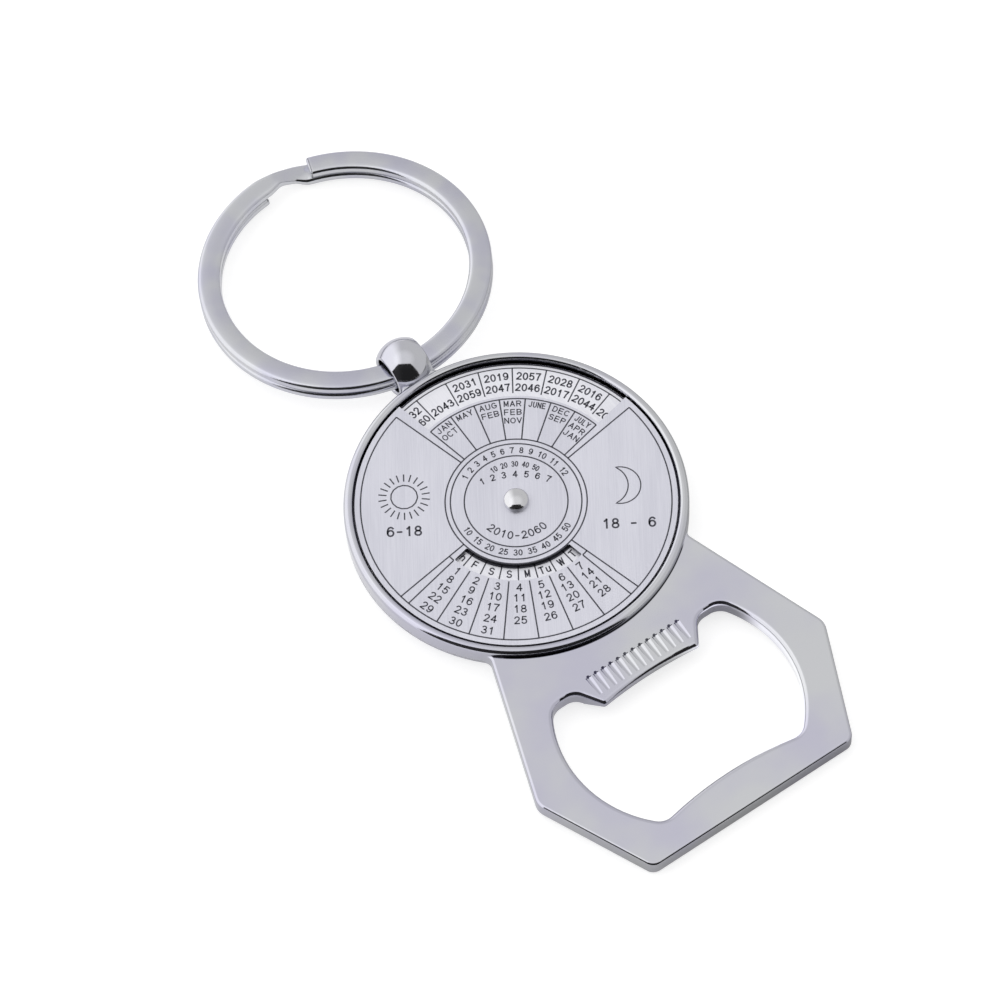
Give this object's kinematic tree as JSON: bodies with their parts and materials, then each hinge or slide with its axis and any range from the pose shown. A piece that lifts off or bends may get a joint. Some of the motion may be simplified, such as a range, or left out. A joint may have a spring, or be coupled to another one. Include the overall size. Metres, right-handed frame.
{
  "type": "perpetual calendar keyring",
  "caption": "Metal keyring with a turning perpetual calendar dial in a round cup, a crown-cap opener plate and a ball lug carrying a split ring.",
  "frame": {"origin": "on the dial's axis, on the flat back face of the cup", "axes": "+Z out of the calendar's face, +Y towards the ball lug and the split ring, -Y towards the opener's end"},
  "size_m": [0.038, 0.098, 0.0076],
  "materials": {
    "cast_body": "polished nickel plate on zinc casting",
    "year_metal": "satin, printed",
    "washer_plastic": "plain",
    "dial_metal": "fine brushed, printed",
    "rivet_metal": "polished",
    "ring_steel": "polished nickel plate on spring steel"
  },
  "bodies": {
    "body": {"opener_body": "cast_body", "year_disc": "year_metal", "friction_washer": "washer_plastic", "centre_rivet": "rivet_metal"},
    "dial": {"dial_disc": "dial_metal"},
    "ring": {"split_ring": "ring_steel"}
  },
  "joints": [
    {"name": "dial_spin", "type": "hinge", "parent": "body", "child": "dial", "pos_m": [0, 0, 0.00217], "axis": [0, 0, 1], "continuous": true},
    {"name": "ring_swing", "type": "hinge", "parent": "body", "child": "ring", "pos_m": [0, 0.02198, 0.0012], "axis": [1, 0, 0], "range_deg": [-150, 158]}
  ]
}
